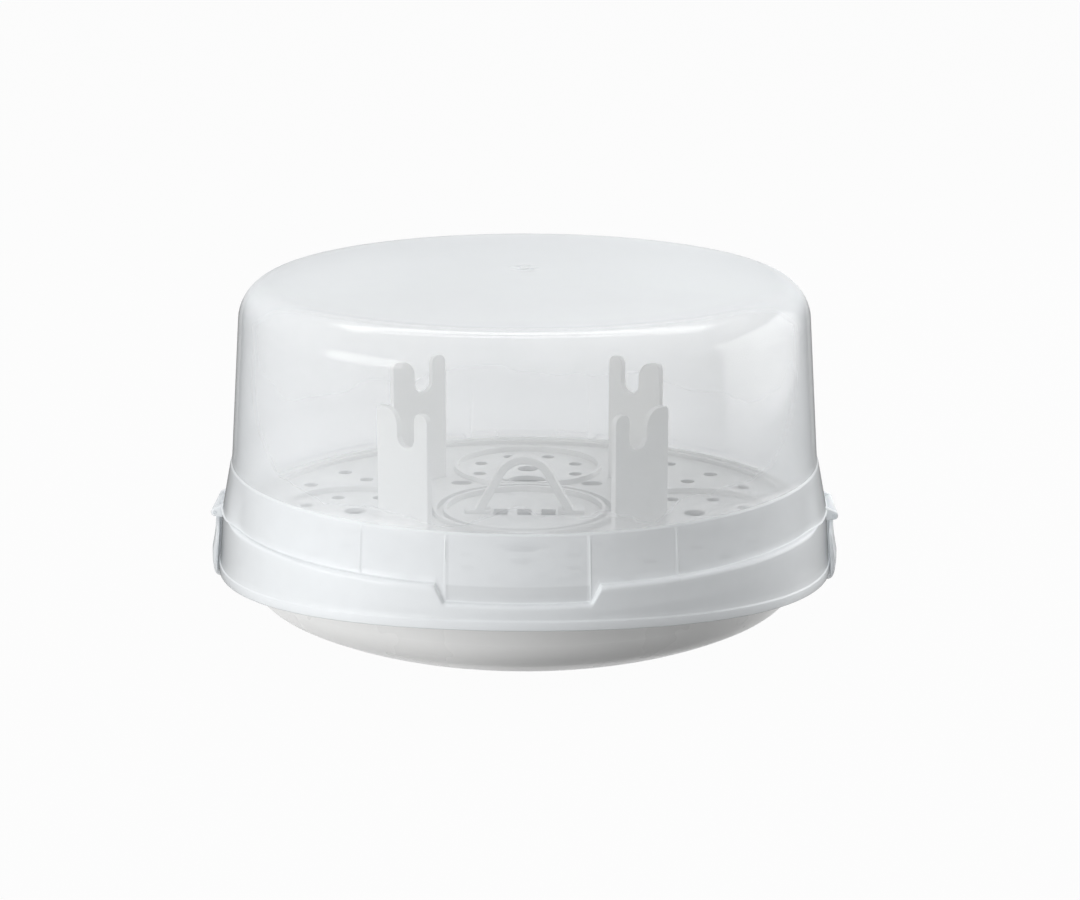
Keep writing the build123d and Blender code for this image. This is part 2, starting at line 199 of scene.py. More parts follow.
def turn_from(theta, direction):
    """Unsigned angle between each bearing and a direction."""
    return np.abs((theta - direction + math.pi) % FULL_TURN - math.pi)


def turn_from_side(theta):
    """Unsigned angle between each bearing and the nearer of the two sides."""
    return np.minimum(turn_from(theta, SIDES[0]), turn_from(theta, SIDES[1]))


def bearings(count, extra):
    """Evenly spaced bearings round the Z axis, with extra ones added where a shape changes fast."""
    even = np.linspace(-math.pi, math.pi, count, endpoint=False)
    more = (np.asarray(extra, float) + math.pi) % FULL_TURN - math.pi
    theta = np.unique(np.round(np.concatenate([even, more]), 5))
    keep = np.concatenate([[True], np.diff(theta) > math.radians(0.06)])
    return theta[keep]


def arc(centre, radius, start, end, count):
    """Points of a circle's arc, as rows of (radius from the axis, height). Angles run from +Z outward."""
    a = np.radians(np.linspace(start, end, count))
    return np.column_stack([centre[0] + radius * np.sin(a), centre[1] + radius * np.cos(a)])


def line(start, end, count):
    """Evenly spaced points from start to end, both included."""
    t = np.linspace(0, 1, count)[:, None]
    return np.asarray(start) * (1 - t) + np.asarray(end) * t


def grid_mesh(name, points):
    """A mesh from an array of points, rows by columns, whose last column joins up with the first.
    Points that coincide are merged, which closes poles, and the normals are turned outward."""
    rows, cols = points.shape[:2]
    index = np.arange(rows * cols).reshape(rows, cols)
    index = np.column_stack([index, index[:, :1]])
    corners = (index[:-1, :-1], index[:-1, 1:], index[1:, 1:], index[1:, :-1])
    quads = np.stack(corners, axis=-1)
    mesh = bpy.data.meshes.new(name)
    mesh.from_pydata((points.reshape(-1, 3) * MM).tolist(), [], quads.reshape(-1, 4).tolist())
    return finished(name, mesh)


def finished(name, mesh, merge=2e-6):
    """Merges coinciding points, points the faces outward, shades smooth and returns the linked object."""
    work = bmesh.new()
    work.from_mesh(mesh)
    bmesh.ops.remove_doubles(work, verts=work.verts, dist=merge)
    bmesh.ops.dissolve_degenerate(work, edges=work.edges, dist=merge)
    bmesh.ops.recalc_face_normals(work, faces=work.faces)
    work.to_mesh(mesh)
    work.free()
    mesh.polygons.foreach_set("use_smooth", [True] * len(mesh.polygons))
    piece = bpy.data.objects.new(name, mesh)
    bpy.context.scene.collection.objects.link(piece)
    return piece


def keep_edges_sharp(piece, degrees):
    """Marks the edges that turn more than an angle as sharp, so that smooth shading stops there."""
    work = bmesh.new()
    work.from_mesh(piece.data)
    for edge in work.edges:
        edge.smooth = len(edge.link_faces) == 2 and edge.calc_face_angle() < math.radians(degrees)
    work.to_mesh(piece.data)
    work.free()
    return piece


def revolved(profile, theta):
    """Each profile row (radius, height), which may differ from bearing to bearing, carried round the Z axis.
    profile has the shape rows by bearings by 2."""
    r, z = profile[..., 0], profile[..., 1]
    return np.stack([r * np.cos(theta), r * np.sin(theta), z], axis=-1)


def ring_maker(theta):
    """A function that gives one profile row for these bearings, from a radius and a height."""

    def ring(r, z):
        row = np.stack(np.broadcast_arrays(r, z), axis=-1)
        return np.broadcast_to(row, (len(theta), 2)).astype(float)

    return ring


def shell_profile(inward, dome_rows, corner_rows):
    """Dome, corner and wall of the lid down to the shoulder, drawn inward by a length. The dome is a
    sphere's cap, the wall a straight taper, and the corner the arc that touches both."""
    sphere = (WALL_TOP_RADIUS**2 + DOME_RISE**2) / (2 * DOME_RISE)
    sphere_z = LID_TOP - sphere
    down = np.array([SHOULDER_RADIUS - WALL_TOP_RADIUS, SHOULDER_Z - LID_TOP + DOME_RISE])
    down /= np.linalg.norm(down)
    inside = np.array([down[1], -down[0]])
    start = np.array([WALL_TOP_RADIUS, LID_TOP - DOME_RISE]) + DOME_CORNER * inside
    offset = start - np.array([0, sphere_z])
    along, square = offset @ down, offset @ offset - (sphere - DOME_CORNER) ** 2
    centre = start + down * (-along - math.sqrt(along**2 - square))
    first = math.degrees(math.atan2(centre[0], centre[1] - sphere_z))
    last = math.degrees(math.atan2(-inside[0], -inside[1]))
    dome = arc((0, sphere_z), sphere - inward, 0, first, dome_rows)
    corner = arc(centre, DOME_CORNER - inward, first, last, corner_rows)
    foot = np.array([SHOULDER_RADIUS, SHOULDER_Z]) + inward * inside
    return np.vstack([dome[:-1], corner, line(corner[-1], foot, 16)[1:-1]])


def ledge_height(theta):
    """Height of the lid's ledge at each bearing: it drops at the front and the back panel, with slanted
    ends."""
    across = np.abs(BAND_RADIUS * np.cos(theta))
    ramp = np.clip((across - PANEL_LOW_HALF) / (PANEL_TOP_HALF - PANEL_LOW_HALF), 0, 1)
    return PANEL_Z + (LEDGE_Z - PANEL_Z) * ramp


def lip_height(theta):
    """Height of the lid's lower edge at each bearing: an arch seen from the front, low at the two sides."""
    reach = SKIRT_LOW_RADIUS + LIP_BAND_STEP
    rise = LIP_FRONT_Z - LIP_SIDE_Z
    radius = (reach**2 + rise**2) / (2 * rise)
    across = reach * np.cos(theta)
    return LIP_FRONT_Z - radius + np.sqrt(radius**2 - across**2)


def skirt_radius(z):
    """Outer radius of the skirt at a height."""
    spread = SKIRT_LOW_RADIUS - SKIRT_TOP_RADIUS
    return SKIRT_TOP_RADIUS + (LEDGE_Z - z) * spread / (LEDGE_Z - LIP_SIDE_Z)


def band_radius(z, theta):
    """Outer radius of the band at a height: a taper that runs out to the skirt at the two sides, with thin
    upright ribs beside the front and the back panel."""
    taper = BAND_RADIUS - SHOULDER_RADIUS - SHOULDER_STEP
    plain = BAND_RADIUS + (LEDGE_Z - z) * taper / (SHOULDER_Z - LEDGE_Z)
    pad = 1 - smooth_step(turn_from_side(theta), PAD_INNER, PAD_OUTER)
    share = np.clip((SHOULDER_Z - z) / (SHOULDER_Z - LEDGE_Z), 0, 1)
    ribs = sum(
        np.clip(1 - np.abs(turn_from(theta, front) - math.radians(angle)) / RIB_WIDTH, 0, 1)
        for front in (FRONT, BACK)
        for angle in RIB_ANGLES
    )
    return plain + pad * share * (SKIRT_TOP_RADIUS - BAND_RADIUS) + RIB_STEP * ribs * (1 - pad)


def lid_bearings():
    """The lid's bearings, closer together at the ribs and at the slanted ends of the panels."""
    ribs = [
        direction + sign * math.radians(angle) + step
        for direction in (FRONT, BACK)
        for angle in RIB_ANGLES
        for sign in (-1, 1)
        for step in (-RIB_WIDTH, 0, RIB_WIDTH)
    ]
    ends = [math.asin(half / BAND_RADIUS) for half in (PANEL_LOW_HALF, PANEL_TOP_HALF)]
    panels = [d + sign * end for d in (FRONT, BACK) for sign in (-1, 1) for end in ends]
    return bearings(LID_BEARINGS, ribs + panels)


def lid_surface():
    """The lid as one closed shell: at each bearing the profile runs down the outside over dome, corner, wall,
    shoulder, band, ledge, skirt and lip, and back up the inside to the dome."""
    theta = lid_bearings()
    ledge, lip = ledge_height(theta), lip_height(theta)
    ring = ring_maker(theta)

    # Outside: gate mark, dome, corner and wall
    dome = shell_profile(0, 14, 14)
    top = dome[0][1]
    rows = [ring(0, top - GATE_DEPTH), ring(GATE_RADIUS - GATE_SLOPE, top - GATE_DEPTH)]
    rows.append(ring(GATE_RADIUS, top - GATE_EDGE))
    rows += [ring(r, z) for r, z in dome[1:]]

    # Outside: shoulder, band and the ledge with its rounded corner
    rows += [ring(SHOULDER_RADIUS + out, SHOULDER_Z + up) for out, up in SHOULDER_CHAMFER]
    fillet = BAND_FOOT_FILLET[-1][0]
    for share in np.linspace(0.04, 1, 8):
        z = SHOULDER_Z + (ledge + fillet - SHOULDER_Z) * share
        rows.append(ring(np.maximum(band_radius(z, theta), SHOULDER_RADIUS + SHOULDER_STEP), z))
    band_foot = band_radius(ledge, theta)
    rows += [ring(band_foot + out, ledge + up) for out, up in BAND_FOOT_FILLET]
    outer = np.maximum(skirt_radius(ledge) - LEDGE_CORNER, band_foot + fillet + 0.05)
    for angle in np.radians((0, 22.5, 45, 67.5, 90)):
        drop = LEDGE_CORNER * (1 - math.cos(angle))
        reach = LEDGE_CORNER * math.sin(angle)
        rows.append(ring(np.minimum(outer + reach, skirt_radius(ledge - drop)), ledge - drop))

    # Outside: skirt, lip band and the lower edge
    band_top = lip + LIP_BAND_HEIGHT
    skirt_top = ledge - LEDGE_CORNER
    for share in np.linspace(0.12, 1, 7):
        z = skirt_top + (band_top + BLEND - skirt_top) * share
        rows.append(ring(skirt_radius(z), z))
    for base, steps in ((band_top, LIP_BAND_TOP), (lip, LIP_EDGE)):
        rows += [ring(skirt_radius(base + up) + out, base + up) for out, up in steps]

    # Inside: skirt, under side of the ledge, band, wall and dome
    under = ledge - LID_WALL
    for share in np.linspace(0.15, 1, 6):
        z = lip + (under - NICK - lip) * share
        rows.append(ring(skirt_radius(z) - LID_WALL, z))
    rows.append(ring(skirt_radius(under) - LID_WALL - NICK, under))
    inside = band_radius(under, theta) - LID_WALL
    rows += [ring(inside + 0.1, under), ring(inside, under + 0.2)]
    for share in np.linspace(0.12, 1, 6):
        z = under + (SHOULDER_Z - 0.5 - under) * share
        rows.append(ring(band_radius(z, theta) - LID_WALL, z))
    rows += [ring(r, z) for r, z in shell_profile(LID_WALL, 10, 10)[::-1]]
    return grid_mesh("lid_shell", revolved(np.stack(rows), theta))


def bowl_radius(z):
    """Outer radius of the bowl's straight wall at a height."""
    return RIM_RADIUS - (RIM_Z - z) * (RIM_RADIUS - DISH_RADIUS) / (RIM_Z - DISH_RISE)


def inner_radius(z):
    """Inner radius of the bowl's straight wall at a height."""
    return bowl_radius(z) - BOWL_WALL


def bowl_corner_arc(inward, count):
    """The shallow dish and the rounded corner between it and the wall, drawn inward by a length. The corner is
    an arc that touches the dish's circle from inside and the wall's line. The height of its centre is found
    by halving the span that holds it."""
    dish = ((DISH_RADIUS - FOOT_RADIUS) ** 2 + DISH_RISE**2) / (2 * DISH_RISE)
    tilt = math.atan((RIM_RADIUS - DISH_RADIUS) / (RIM_Z - DISH_RISE))
    low, high = DISH_RISE, RIM_Z
    for _ in range(40):
        z = (low + high) / 2
        r = bowl_radius(z) - BOWL_CORNER / math.cos(tilt)
        if math.hypot(r - FOOT_RADIUS, z - dish) > dish - BOWL_CORNER:
            low = z
        else:
            high = z
    first = 180 - math.degrees(math.atan2(r - FOOT_RADIUS, dish - z))
    corner = arc((r, z), BOWL_CORNER - inward, first, 90 + math.degrees(tilt), count)
    sweep = arc((FOOT_RADIUS, dish), dish - inward, 180, first, 16)
    return np.vstack([sweep, corner[1:]])


def bowl_surface():
    """The bowl as one closed shell round the Z axis: under its foot, out along the dish, up the wall round the
    flange and over the rim, then down the inside past the ledge that carries the tray."""
    catch_ends = [
        side + sign * (CATCH_HALF + step)
        for side in SIDES
        for sign in (-1, 1)
        for step in (-CATCH_SIDE, CATCH_SIDE)
    ]
    theta = bearings(BOWL_BEARINGS, catch_ends)
    catch = (turn_from_side(theta) < CATCH_HALF).astype(float)
    ring = ring_maker(theta)

    def out_to_catch(r):
        return r + catch * (CATCH_RADIUS - r)

    # Outside: foot ring, dish and corner
    foot_inside = FOOT_RADIUS - FOOT_WIDTH
    rows = [ring(r, FOOT_HEIGHT) for r in (0, 0.5 * foot_inside, foot_inside - 2 * NICK)]
    rows += [ring(foot_inside, FOOT_HEIGHT - NICK), ring(foot_inside + NICK, NICK)]
    rows.append(ring(foot_inside + EDGE_ROUND, 0))
    rows += [ring(r, z) for r, z in bowl_corner_arc(0, 14)]

    # Outside: wall, with a catch at each side from the height of the lid's lip up to the flange
    low_flange = FLANGE_Z - FLANGE_THICKNESS
    catch_z = LIP_SIDE_Z
    for z in np.linspace(rows[-1][0, 1] + BLEND, low_flange - BLEND, 12):
        if z < catch_z:
            rows.append(ring(bowl_radius(z), z))
            continue
        if rows[-1][0, 1] < catch_z:
            rows.append(ring(bowl_radius(catch_z), catch_z))
            rows.append(ring(out_to_catch(bowl_radius(catch_z)), catch_z + 0.01))
        rows.append(ring(out_to_catch(bowl_radius(z)), z))

    # Outside: flange and rim
    rows.append(ring(out_to_catch(bowl_radius(low_flange) + BLEND), low_flange))
    rows.append(ring(FLANGE_RADIUS - 2 * NICK + catch * CATCH_LIP, low_flange))
    rows += [ring(FLANGE_RADIUS - 0.1, low_flange + NICK), ring(FLANGE_RADIUS, low_flange + EDGE_ROUND)]
    rows += [ring(FLANGE_RADIUS, FLANGE_Z - EDGE_ROUND), ring(FLANGE_RADIUS - NICK, FLANGE_Z - 0.15)]
    rows += [ring(FLANGE_RADIUS - EDGE_ROUND, FLANGE_Z), ring(bowl_radius(FLANGE_Z) + BLEND, FLANGE_Z)]
    rows += [ring(bowl_radius(z), z) for z in (FLANGE_Z + BLEND, FLANGE_Z + 3, RIM_Z - RIM_ROUND)]
    rim = arc((RIM_RADIUS - RIM_ROUND, RIM_Z - RIM_ROUND), RIM_ROUND, 80, -80, 9)
    rows += [ring(r, z) for r, z in rim]

    # Inside: wall, the tray's rest, dish and floor
    rest = inner_radius(REST_Z) - REST_WIDTH
    rest_foot = REST_Z - REST_DEPTH
    rows += [ring(inner_radius(z), z) for z in (RIM_Z - RIM_ROUND - BLEND, REST_Z + NICK)]
    rows += [ring(inner_radius(REST_Z) - NICK, REST_Z), ring(rest + NICK, REST_Z)]
    rows += [ring(rest, REST_Z - NICK), ring(rest, REST_Z - REST_EDGE)]
    rows.append(ring(inner_radius(rest_foot), rest_foot))
    back = bowl_corner_arc(BOWL_WALL, 12)[::-1]
    rows += [ring(inner_radius(z), z) for z in np.linspace(rest_foot - 1, back[0, 1] + BLEND, 6)]
    rows += [ring(r, z) for r, z in back]
    rows += [ring(r, FOOT_HEIGHT + BOWL_WALL) for r in (FOOT_RADIUS - 6, 0.4 * FOOT_RADIUS, 0)]
    return grid_mesh("bowl_shell", revolved(np.stack(rows), theta))


def rounded_copy(part, width):
    """A CAD node's own mesh, merged into whole faces, with its edges rounded by a bevel."""
    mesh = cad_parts[part].data.copy()
    mesh.materials.clear()
    piece = finished(part + "_moulding", mesh, merge=1e-6)
    work = bmesh.new()
    work.from_mesh(piece.data)
    bmesh.ops.dissolve_limit(
        work, angle_limit=math.radians(1), verts=work.verts, edges=work.edges, delimit={"NORMAL"}
    )
    work.to_mesh(piece.data)
    work.free()
    bevel = piece.modifiers.new("rounded edges", "BEVEL")
    bevel.width = width * MM
    bevel.segments = 2
    bevel.limit_method = "ANGLE"
    bevel.angle_limit = math.radians(TRAY_SHARP)
    bevel.harden_normals = True
    bevel.use_clamp_overlap = True
    return keep_edges_sharp(piece, TRAY_SHARP)


def ear_surface(side, end):
    """One ear of the lid: a plate square to the Y axis whose outline runs from the skirt round the hinge pin.
    The outline is a foot on the skirt, two slanted sides and an arc about the pin, and the rim is rounded."""
    foot = SKIRT_TOP_RADIUS - EAR_ROOT
    foot_low = np.array([foot, HINGE_Z - EAR_DROP])
    foot_top = np.array([foot, HINGE_Z + EAR_RISE])
    nose_half = EAR_RADIUS * EAR_NOSE_SHARE
    fall = math.degrees(math.atan2(EAR_RISE - nose_half, HINGE_RADIUS - foot))
    rise = math.degrees(math.atan2(EAR_DROP - nose_half, HINGE_RADIUS - foot))
    nose = arc((HINGE_RADIUS, HINGE_Z), EAR_RADIUS, fall, 180 - rise, 17)
    upper_side = line(foot_top, nose[0], 6)[:-1]
    lower_side = line(nose[-1], foot_low, 6)[1:]
    root = line(foot_low, foot_top, 6)[1:-1]
    outline = np.vstack([upper_side, nose, lower_side, root])
    centre = outline.mean(axis=0)
    inner = end * (BARREL_LENGTH / 2 + EAR_GAP)
    outer = inner + end * EAR_THICKNESS
    points = []
    for face, steps in ((inner, EAR_INNER_FACE), (outer, EAR_OUTER_FACE)):
        for step, share in steps:
            ring = centre + (outline - centre) * share
            y = np.full(len(ring), face + end * step)
            points.append(np.column_stack([side * ring[:, 0], y, ring[:, 1]]))
    name = f"lid_ear_{'right' if side > 0 else 'left'}_{'rear' if end > 0 else 'front'}"
    return grid_mesh(name, np.stack(points))


def strip_surface(name, side, path, thickness, half_width):
    """A strip that follows a path in the plane of one side's radius: at each point of the path its section is a
    rounded rectangle, thickness across the path and half_width round the Z axis. Its two ends are closed."""
    along = np.gradient(path, axis=0)
    along /= np.linalg.norm(along, axis=1)[:, None]
    across = np.column_stack([along[:, 1], -along[:, 0]])
    turn = np.linspace(0, FULL_TURN, 40, endpoint=False)
    flat = np.sign(np.cos(turn)) * np.abs(np.cos(turn)) ** CLIP_SECTION_POWER
    deep = np.sign(np.sin(turn)) * np.abs(np.sin(turn)) ** CLIP_SECTION_POWER
    shrink = np.ones(len(path))
    shrink[[0, -1]] = 0.0
    shrink[[1, -2]] = CLIP_END_SHARE
    offset = deep[None, :, None] * (thickness * shrink)[:, None, None] / 2
    depth = path[:, None, :] + across[:, None, :] * offset
    bearing = flat[None, :] * (half_width * shrink)[:, None] / depth[..., 0]
    x = side * depth[..., 0] * np.cos(bearing)
    return grid_mesh(name, np.stack([x, depth[..., 0] * np.sin(bearing), depth[..., 1]], axis=-1))


def clip_surface(name, side):
    """The clip's arm: down from the hinge barrel, out over a full grip, and in under the lid's lip as a hook.
    The path's knots are joined by straight lines, which a moving average then rounds."""
    knots = np.array(CLIP_PATH)
    reached = np.concatenate([[0], np.cumsum(np.hypot(*np.diff(knots[:, :2], axis=0).T))])
    fine = np.linspace(0, reached[-1], CLIP_POINTS)
    fine = np.sort(np.concatenate([fine, [fine[0] + 0.02, fine[-1] - 0.3]]))
    kernel = np.hanning(CLIP_EASING + 2)[1:-1]
    kernel /= kernel.sum()
    pad = CLIP_EASING // 2
    smooth = []
    for column in knots.T:
        values = np.interp(fine, reached, column)
        smooth.append(np.convolve(np.pad(values, pad, mode="edge"), kernel, mode="valid"))
    r, z, thickness, half_width = smooth
    return strip_surface(name, side, np.column_stack([r, z]), thickness, half_width)


def barrel_surface(name, side):
    """The clip's hinge barrel with its two stub pins: radii at places along Y, carried round the hinge line."""
    half = BARREL_LENGTH / 2
    pin_end = half + EAR_GAP + EAR_THICKNESS
    half_profile = [
        (0, BARREL_RADIUS),
        (half - BARREL_ROUND, BARREL_RADIUS),
        (half - 0.1, BARREL_RADIUS - 0.15),
        (half, BARREL_RADIUS - BARREL_ROUND),
        (half, PIN_RADIUS),
        (pin_end - NICK, PIN_RADIUS),
        (pin_end, PIN_RADIUS - NICK),
        (pin_end, 0),
    ]
    profile = np.array([(-y, r) for y, r in half_profile[:0:-1]] + half_profile)
    turn = np.linspace(0, FULL_TURN, 28, endpoint=False)
    x = HINGE_RADIUS + profile[:, 1:] * np.cos(turn)
    z = HINGE_Z + profile[:, 1:] * np.sin(turn)
    y = np.broadcast_to(profile[:, :1], x.shape)
    return grid_mesh(name, np.stack([side * x, y, z], axis=-1))


def new_material(name):
    """An empty node material with its output, and the tree to fill."""
    material = bpy.data.materials.new(name)
    material.use_nodes = True
    tree = material.node_tree
    tree.nodes.clear()
    return material, tree, tree.nodes.new("ShaderNodeOutputMaterial")


def node(tree, kind, **settings):
    """A new node of a kind, with its own settings or its inputs set by name."""
    made = tree.nodes.new("ShaderNode" + kind)
    for key, value in settings.items():
        if hasattr(made, key):
            setattr(made, key, value)
        else:
            made.inputs[key.replace("_", " ")].default_value = value
    return made


def join(tree, operation, first, second):
    """A Math node that joins two values."""
    joined = node(tree, "Math", operation=operation)
    tree.links.new(first, joined.inputs[0])
    tree.links.new(second, joined.inputs[1])
    return joined.outputs[0]


def mix_shaders(tree, share, first, second):
    """The first shader, with a share of the second one laid over it."""
    mix = tree.nodes.new("ShaderNodeMixShader")
    tree.links.new(share, mix.inputs["Fac"])
    tree.links.new(first.outputs[0], mix.inputs[1])
    tree.links.new(second.outputs[0], mix.inputs[2])
    return mix


def noise_on(tree, scale, detail=3.0):
    """A noise pattern fixed to the object, in Object coordinates."""
    noise = node(tree, "TexNoise", Scale=scale, Detail=detail)
    place = tree.nodes.new("ShaderNodeTexCoord")
    tree.links.new(place.outputs["Object"], noise.inputs["Vector"])
    return noise.outputs["Fac"]


def remap(tree, value, low, high, to_low, to_high, smooth=False):
    """A value mapped from one range to another."""
    ranges = {"From_Min": low, "From_Max": high, "To_Min": to_low, "To_Max": to_high}
    remapped = node(tree, "MapRange", **ranges)
    if smooth:
        remapped.interpolation_type = "SMOOTHSTEP"
    tree.links.new(value, remapped.inputs["Value"])
    return remapped.outputs["Result"]


def add_bump(tree, strength, *shaders):
    """Fine height detail of the moulded skin, from two layers of noise, into the shaders' normals."""
    fine, broad = (noise_on(tree, scale) for scale in SKIN_SCALES)
    bump = node(tree, "Bump", Strength=strength, Distance=SKIN_DEPTH)
    skin = join(tree, "ADD", remap(tree, fine, 0, 1, 0, 0.35), broad)
    tree.links.new(skin, bump.inputs["Height"])
    for shader in shaders:
        tree.links.new(bump.outputs["Normal"], shader.inputs["Normal"])


def mottled(tree, low, high, scale, tint):
    """A colour that drifts softly between two greys of one tint over the surface."""
    ramp = tree.nodes.new("ShaderNodeValToRGB")
    ramp.color_ramp.interpolation = "EASE"
    for element, position, grey in zip(ramp.color_ramp.elements, (0.25, 0.75), (low, high)):
        element.position = position
        element.color = (grey * tint[0], grey * tint[1], grey * tint[2], 1)
    tree.links.new(noise_on(tree, scale, 0.0), ramp.inputs["Fac"])
    return ramp.outputs["Color"]


def white_plastic(name, low, high, roughness, coat, bump):
    """Solid white moulded plastic: a soft drift of tone and gloss, and a fine moulded skin."""
    material, tree, output = new_material(name)
    shader = node(tree, "BsdfPrincipled", IOR=1.49, Coat_Weight=coat, Coat_Roughness=0.08)
    tree.links.new(mottled(tree, low, high, 6.0, WHITE_TINT), shader.inputs["Base Color"])
    drift = (roughness - ROUGHNESS_DRIFT, roughness + ROUGHNESS_DRIFT)
    rough = remap(tree, noise_on(tree, 30.0), 0.2, 0.8, *drift)
    tree.links.new(rough, shader.inputs["Roughness"])
    add_bump(tree, bump, shader)
    tree.links.new(shader.outputs["BSDF"], output.inputs["Surface"])
    return material


def panel_shade(tree, place):
    """Painted shade: a share of grey on the lower part of the two panels, where the bowl's flange stands close
    behind them in shadow. It fades over a millimetre or less at the panels' edges."""
    low, high, half = PANEL_Z * MM, LEDGE_Z * MM, PANEL_LOW_HALF * MM
    across = node(tree, "Math", operation="ABSOLUTE")
    tree.links.new(place.outputs["X"], across.inputs[0])
    inside = remap(tree, across.outputs[0], half - 0.8 * MM, half, 1, 0, smooth=True)
    above = remap(tree, place.outputs["Z"], low + 0.3 * MM, low + MM, 0, 1, smooth=True)
    below = remap(tree, place.outputs["Z"], high - 0.9 * MM, high + 0.3 * MM, PANEL_SHADE, 0, smooth=True)
    return join(tree, "MULTIPLY", join(tree, "MULTIPLY", inside, above), below)


def veil_density(tree, height, upper_veil, lower_veil):
    """The lid's veil seen face on: thin on the wall, a little denser toward its foot, and dense below the
    shoulder, where the inner side of the skirt keeps a small share. Noise makes it drift slightly."""
    surface = tree.nodes.new("ShaderNodeNewGeometry")
    shoulder, top = SHOULDER_Z * MM, SHOULDER_Z * MM + WALL_FADE
    wall = remap(tree, height, shoulder, top, upper_veil * WALL_FOOT_SHARE, upper_veil)
    skirt = remap(tree, height, shoulder + 0.4 * MM, shoulder + 0.7 * MM, lower_veil, 0)
    seen_side = remap(tree, surface.outputs["Backfacing"], 0, 1, 1, INNER_SIDE_SHARE)
    density = join(tree, "MAXIMUM", wall, join(tree, "MULTIPLY", skirt, seen_side))
    drift = remap(tree, noise_on(tree, 26.0), 0.3, 0.7, *VEIL_DRIFT)
    return join(tree, "MULTIPLY", density, drift)


def frosted_plastic(name, upper_veil, lower_veil, edge_veil, edge_shade_grey):
    """Translucent moulded plastic: a milky veil over what is behind it, denser below the shoulder and wherever
    the wall is seen edge on, under a thin gloss. Light from the lamps passes most of the veil."""
    material, tree, output = new_material(name)
    links = tree.links
    facing = tree.nodes.new("ShaderNodeLayerWeight").outputs["Facing"]
    steep = node(tree, "Math", operation="POWER")
    steep.inputs[1].default_value = VEIL_POWER
    links.new(facing, steep.inputs[0])
    place = tree.nodes.new("ShaderNodeTexCoord")
    height = node(tree, "SeparateXYZ")
    links.new(place.outputs["Object"], height.inputs["Vector"])

    # How much the veil hides, to the eye and to the lamps
    veil = node(tree, "MapRange", To_Max=edge_veil)
    links.new(steep.outputs[0], veil.inputs["Value"])
    links.new(veil_density(tree, height.outputs["Z"], upper_veil, lower_veil), veil.inputs["To Min"])
    rays = tree.nodes.new("ShaderNodeLightPath")
    lamp_share = remap(tree, rays.outputs["Is Shadow Ray"], 0, 1, 1.0, LAMP_SHARE)
    hidden = join(tree, "MULTIPLY", veil.outputs["Result"], lamp_share)

    # Its colour, with painted shade: grey where an upright wall is seen edge on, and on the lower part of the
    # panels
    surface = tree.nodes.new("ShaderNodeNewGeometry")
    upright = node(tree, "SeparateXYZ")
    links.new(surface.outputs["Normal"], upright.inputs["Vector"])
    wall_share = remap(tree, upright.outputs["Z"], 0.25, 0.75, 1, 0, smooth=True)
    # Painted shade on the edges: the upright wall's colour turns grey as it is seen edge on
    rim = join(tree, "MULTIPLY", steep.outputs[0], wall_share)
    tint = node(tree, "Mix", data_type="RGBA")
    inputs = {socket.identifier: socket for socket in tint.inputs}
    outputs = {socket.identifier: socket for socket in tint.outputs}
    links.new(join(tree, "MAXIMUM", rim, panel_shade(tree, height)), inputs["Factor_Float"])
    links.new(mottled(tree, *PLASTIC_GREYS, 9.0, PLASTIC_TINT), inputs["A_Color"])
    inputs["B_Color"].default_value = (*(edge_shade_grey * share for share in EDGE_SHADE_TINT), 1)

    body = node(tree, "BsdfPrincipled", Roughness=0.5)
    body.inputs["Specular IOR Level"].default_value = 0.0
    links.new(outputs["Result_Color"], body.inputs["Base Color"])
    links.new(hidden, body.inputs["Alpha"])
    sheen = node(tree, "BsdfGlossy", Color=(1, 1, 1, 1))
    rough = remap(tree, noise_on(tree, 40.0), 0.3, 0.7, *SHEEN_ROUGHNESS)
    links.new(rough, sheen.inputs["Roughness"])
    gloss = remap(tree, facing, 0.2, 0.8, *SHEEN_SHARE, smooth=True)
    mix = mix_shaders(tree, gloss, body, sheen)
    add_bump(tree, 0.015, body, sheen)
    links.new(mix.outputs[0], output.inputs["Surface"])
    return material


def seen_directly(tree):
    """1 for camera, glossy and transmission rays, else 0."""
    rays = tree.nodes.new("ShaderNodeLightPath")
    total = rays.outputs["Is Camera Ray"]
    for kind in ("Is Glossy Ray", "Is Transmission Ray"):
        total = join(tree, "MAXIMUM", total, rays.outputs[kind])
    return total


def make_floor():
    """A pale floor: mostly its own white where it is seen, with the rest lit, so that it keeps a faint shadow.
    From below it is see-through, which leaves the underside of the object in sight."""
    half = FLOOR_HALF
    mesh = bpy.data.meshes.new("floor")
    corners = [(-half, -half, 0), (half, -half, 0), (half, half, 0), (-half, half, 0)]
    mesh.from_pydata(corners, [], [(0, 1, 2, 3)])
    floor = bpy.data.objects.new("floor", mesh)
    bpy.context.scene.collection.objects.link(floor)
    material, tree, output = new_material("floor white")
    lit = node(tree, "BsdfDiffuse", Color=(FLOOR_GREY, FLOOR_GREY, FLOOR_GREY, 1))
    glow = node(tree, "Emission", Color=(1, 1, 1, 1), Strength=1.0)
    share = node(tree, "Math", operation="MULTIPLY")
    share.inputs[1].default_value = FLOOR_GLOW_SHARE
    tree.links.new(seen_directly(tree), share.inputs[0])
    from_above = mix_shaders(tree, share.outputs[0], lit, glow)
    surface = tree.nodes.new("ShaderNodeNewGeometry")
    clear = node(tree, "BsdfTransparent")
    both = mix_shaders(tree, surface.outputs["Backfacing"], from_above, clear)
    tree.links.new(both.outputs[0], output.inputs["Surface"])
    mesh.materials.append(material)


